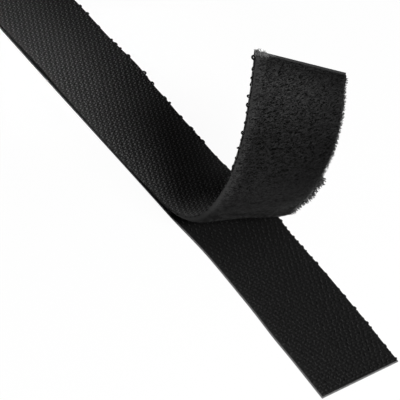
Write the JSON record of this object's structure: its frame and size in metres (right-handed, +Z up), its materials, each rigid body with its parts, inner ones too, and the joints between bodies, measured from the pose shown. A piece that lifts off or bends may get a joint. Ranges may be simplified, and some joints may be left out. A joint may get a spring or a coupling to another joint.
{
  "type": "hook and loop tape roll",
  "caption": "Black sew-on hook and loop fastening tape: a woven hook strip and loop strip pressed together, wound on a core, with the loop strip's end peeled up into a curl.",
  "frame": {"origin": "On the back of the hook strip, at the middle of its width, where the loop strip starts to peel.", "axes": "+X along the tape towards its cut end, +Y across the tape, +Z up from the surface that the tape lies on."},
  "size_m": [0.2819, 0.046, 0.0914],
  "materials": {
    "woven_nylon": "woven, matt",
    "loop_pile": "brushed loops, matt",
    "hook_monofilament": "satin",
    "core_board": "plain board, matt"
  },
  "bodies": {
    "fastened_tape": {"hook_tape": "woven_nylon", "hooks_fastened": "hook_monofilament", "loop_pile_fastened": "loop_pile", "loop_tape_fastened": "woven_nylon", "hooks_bare": "hook_monofilament", "hook_tape_wound": "woven_nylon", "loop_tape_wound": "woven_nylon", "core_tube": "core_board"},
    "flap_1": {"flap_tape_1": "woven_nylon", "flap_pile_1": "loop_pile"},
    "flap_2": {"flap_tape_2": "woven_nylon", "flap_pile_2": "loop_pile"},
    "flap_3": {"flap_tape_3": "woven_nylon", "flap_pile_3": "loop_pile"},
    "flap_4": {"flap_tape_4": "woven_nylon", "flap_pile_4": "loop_pile"},
    "flap_5": {"flap_tape_5": "woven_nylon", "flap_pile_5": "loop_pile"},
    "flap_6": {"flap_tape_6": "woven_nylon", "flap_pile_6": "loop_pile"},
    "flap_7": {"flap_tape_7": "woven_nylon", "flap_pile_7": "loop_pile"},
    "flap_8": {"flap_tape_8": "woven_nylon", "flap_pile_8": "loop_pile"},
    "flap_9": {"flap_tape_9": "woven_nylon", "flap_pile_9": "loop_pile"},
    "flap_10": {"flap_tape_10": "woven_nylon", "flap_pile_10": "loop_pile"},
    "flap_11": {"flap_tape_11": "woven_nylon", "flap_pile_11": "loop_pile"},
    "flap_12": {"flap_tape_12": "woven_nylon", "flap_pile_12": "loop_pile"}
  },
  "joints": [
    {"name": "peel_bend_1", "type": "hinge", "parent": "fastened_tape", "child": "flap_1", "pos_m": [0, 0, 0.00231], "axis": [-0.44, -0.898, 0], "range_deg": [-6.45, 2.28], "stiffness_Nm_per_rad": 0.02},
    {"name": "peel_bend_2", "type": "hinge", "parent": "flap_1", "child": "flap_2", "pos_m": [0.00603, 0.00002, 0.00293], "axis": [-0.4118, -0.9113, 0.0036], "range_deg": [-12.57, 4.44], "stiffness_Nm_per_rad": 0.02},
    {"name": "peel_bend_3", "type": "hinge", "parent": "flap_2", "child": "flap_3", "pos_m": [0.01182, 0.00015, 0.00474], "axis": [-0.3838, -0.9233, 0.0142], "range_deg": [-13.27, 4.69], "stiffness_Nm_per_rad": 0.02},
    {"name": "peel_bend_4", "type": "hinge", "parent": "flap_3", "child": "flap_4", "pos_m": [0.01708, 0.00051, 0.00772], "axis": [-0.3577, -0.9333, 0.032], "range_deg": [-14.52, 5.13], "stiffness_Nm_per_rad": 0.02},
    {"name": "peel_bend_5", "type": "hinge", "parent": "flap_4", "child": "flap_5", "pos_m": [0.02149, 0.00124, 0.01182], "axis": [-0.3356, -0.9403, 0.057], "range_deg": [-15.05, 5.32], "stiffness_Nm_per_rad": 0.02},
    {"name": "peel_bend_6", "type": "hinge", "parent": "flap_5", "child": "flap_6", "pos_m": [0.02474, 0.00244, 0.01679], "axis": [-0.3196, -0.9435, 0.0877], "range_deg": [-14.42, 5.1], "stiffness_Nm_per_rad": 0.02},
    {"name": "peel_bend_7", "type": "hinge", "parent": "flap_6", "child": "flap_7", "pos_m": [0.02671, 0.00412, 0.02228], "axis": [-0.3108, -0.9426, 0.1222], "range_deg": [-13.81, 4.88], "stiffness_Nm_per_rad": 0.02},
    {"name": "peel_bend_8", "type": "hinge", "parent": "flap_7", "child": "flap_8", "pos_m": [0.02733, 0.00627, 0.02791], "axis": [-0.3097, -0.9376, 0.158], "range_deg": [-13.22, 4.67], "stiffness_Nm_per_rad": 0.02},
    {"name": "peel_bend_9", "type": "hinge", "parent": "flap_8", "child": "flap_9", "pos_m": [0.02665, 0.00881, 0.03337], "axis": [-0.3162, -0.9288, 0.1932], "range_deg": [-11.12, 3.93], "stiffness_Nm_per_rad": 0.02},
    {"name": "peel_bend_10", "type": "hinge", "parent": "flap_9", "child": "flap_10", "pos_m": [0.0249, 0.01164, 0.03844], "axis": [-0.3291, -0.9168, 0.2261], "range_deg": [-7.92, 2.8], "stiffness_Nm_per_rad": 0.02},
    {"name": "peel_bend_11", "type": "hinge", "parent": "flap_10", "child": "flap_11", "pos_m": [0.02244, 0.01462, 0.04311], "axis": [-0.3461, -0.9024, 0.2565], "range_deg": [-4.77, 1.69], "stiffness_Nm_per_rad": 0.02},
    {"name": "peel_bend_12", "type": "hinge", "parent": "flap_11", "child": "flap_12", "pos_m": [0.01957, 0.01768, 0.04749], "axis": [-0.3654, -0.8861, 0.285], "range_deg": [-1.65, 0.58], "stiffness_Nm_per_rad": 0.02}
  ]
}
